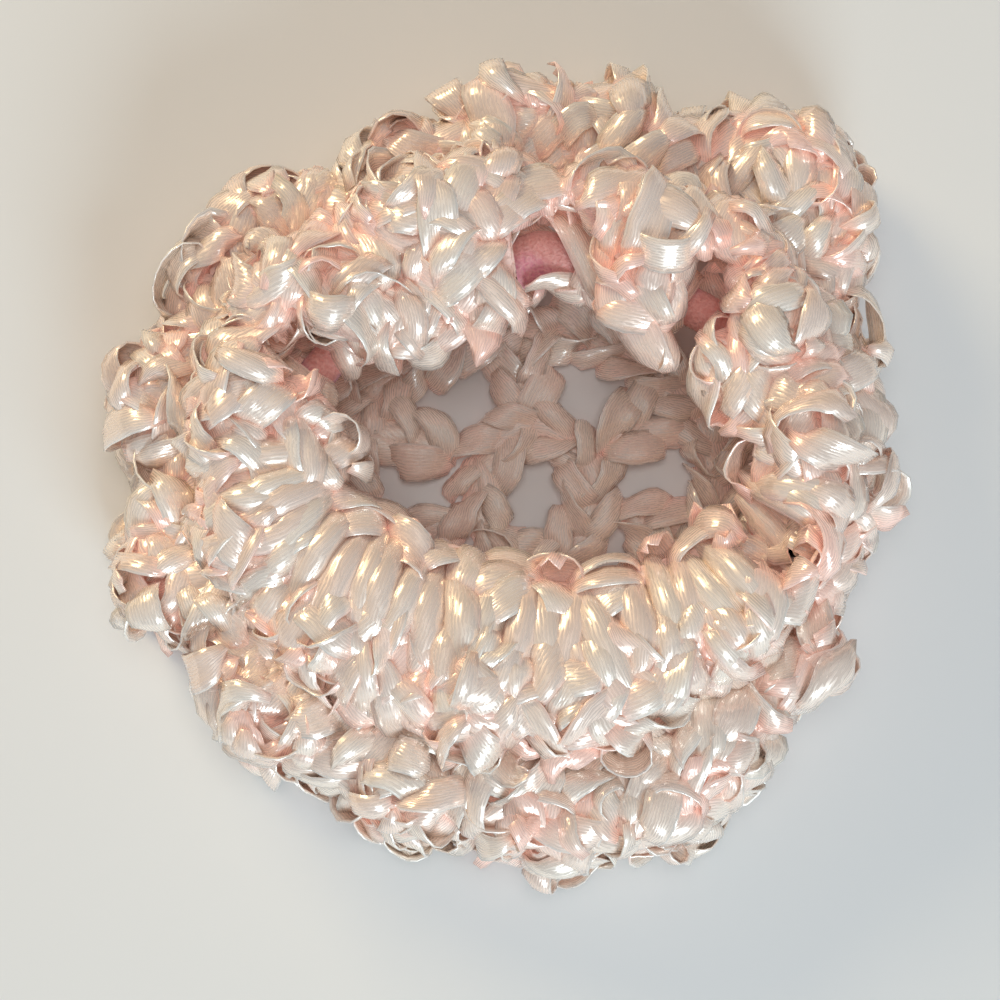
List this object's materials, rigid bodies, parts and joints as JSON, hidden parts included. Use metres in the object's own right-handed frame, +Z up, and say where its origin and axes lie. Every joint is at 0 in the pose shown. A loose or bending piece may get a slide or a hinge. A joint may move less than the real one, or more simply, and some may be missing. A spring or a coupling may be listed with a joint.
{
  "type": "crochet hair snood",
  "caption": "Ruffled ribbon snood lying mouth up: an open net bag holds a hair bun, a covered elastic grips round the mouth, and two tiers of ruffle stand round it.",
  "frame": {"origin": "on the surface that the snood lies on, under the middle of its outline", "axes": "+Z up out of the mouth, +Y along the outline's longer way, +X along the mouth's longer way"},
  "size_m": [0.1074, 0.1096, 0.0344],
  "materials": {
    "ruffle_ribbon": "pale blush satin ribbon with fine lengthwise ribs and a soft sheen, crocheted in loops and curls",
    "net_ribbon": "pale blush satin ribbon in open crochet chains, duller than the ruffle",
    "covered_elastic": "pink textile-covered round elastic, matt, with fine ribs along it"
  },
  "bodies": {
    "root": {"net_bag": "net_ribbon", "elastic_band": "covered_elastic", "mouth_round": "ruffle_ribbon", "inner_ruffle": "ruffle_ribbon", "outer_ruffle": "ruffle_ribbon"}
  },
  "joints": []
}
